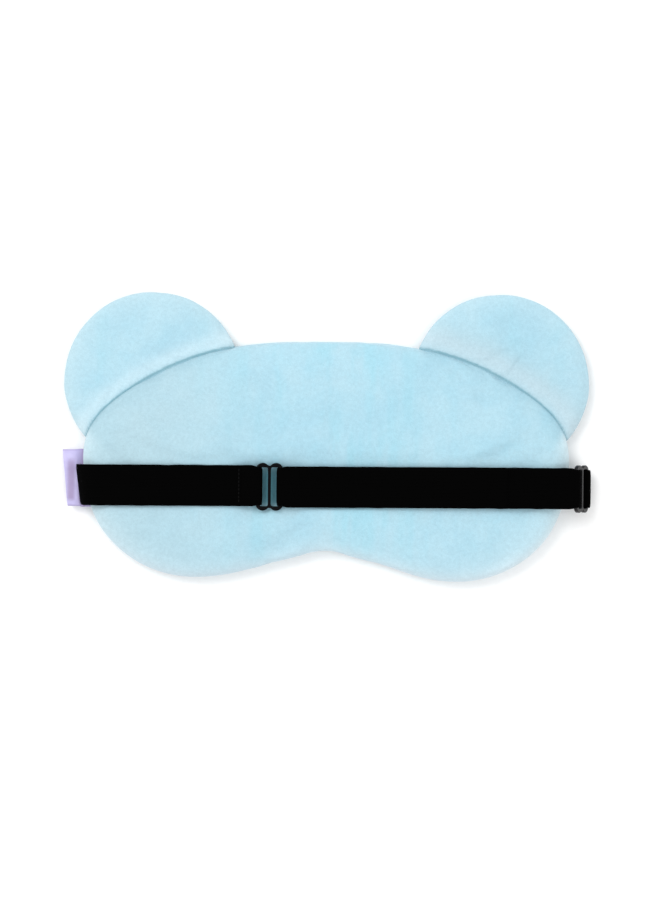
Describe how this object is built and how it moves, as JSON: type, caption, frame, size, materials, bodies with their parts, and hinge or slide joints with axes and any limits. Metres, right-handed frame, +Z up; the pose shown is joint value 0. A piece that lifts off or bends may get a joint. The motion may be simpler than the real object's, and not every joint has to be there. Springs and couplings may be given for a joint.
{
  "type": "sleep mask",
  "caption": "Plush sleep mask with two round ears, a velvet cover and an adjustable elastic strap on two sliders.",
  "frame": {"origin": "middle of the whole object's footprint, on the surface that the mask lies on", "axes": "+X along the mask from the sewn strap end to the side slider, +Y from the nose notch to the ears, +Z up, out of the back panel"},
  "size_m": [0.2336, 0.127, 0.0174],
  "materials": {
    "velvet": "short-pile velvet",
    "stuffing": "fibre wadding",
    "lining": "matt woven",
    "thread": "sewing thread",
    "black_thread": "sewing thread",
    "elastic": "ribbed woven elastic",
    "tab_tape": "woven tape",
    "label": "satin ribbon",
    "black_metal": "gloss black coating"
  },
  "bodies": {
    "mask": {"back_panel": "velvet", "front_panel": "velvet", "left_ear_back": "velvet", "left_ear_front": "velvet", "right_ear_back": "velvet", "right_ear_front": "velvet", "filling": "stuffing", "left_ear_filling": "stuffing", "right_ear_filling": "stuffing", "perimeter_thread": "thread", "left_ear_thread": "thread", "right_ear_thread": "thread", "blackout_lining": "lining", "strap_anchor": "elastic", "strap_left_band": "elastic", "strap_upper_band": "elastic", "strap_lower_band": "elastic", "side_tab": "tab_tape", "side_label": "label"},
    "slider_unit": {"slider": "black_metal", "strap_left_fold": "elastic", "strap_right_fold": "elastic", "hem_tack": "black_thread"},
    "side_slider_unit": {"side_slider": "black_metal", "strap_side_fold": "elastic"}
  },
  "joints": [
    {"name": "slider_slide", "type": "slide", "parent": "mask", "child": "slider_unit", "axis": [1, 0, 0], "range_m": [-0.03, 0.055], "deforming": ["strap_left_band", "strap_upper_band", "strap_lower_band"]},
    {"name": "side_swivel", "type": "hinge", "parent": "mask", "child": "side_slider_unit", "pos_m": [0.11495, -0.0216, 0.0059], "axis": [0, 1, 0], "range_deg": [0, 75], "deforming": ["strap_upper_band", "strap_lower_band"]}
  ]
}
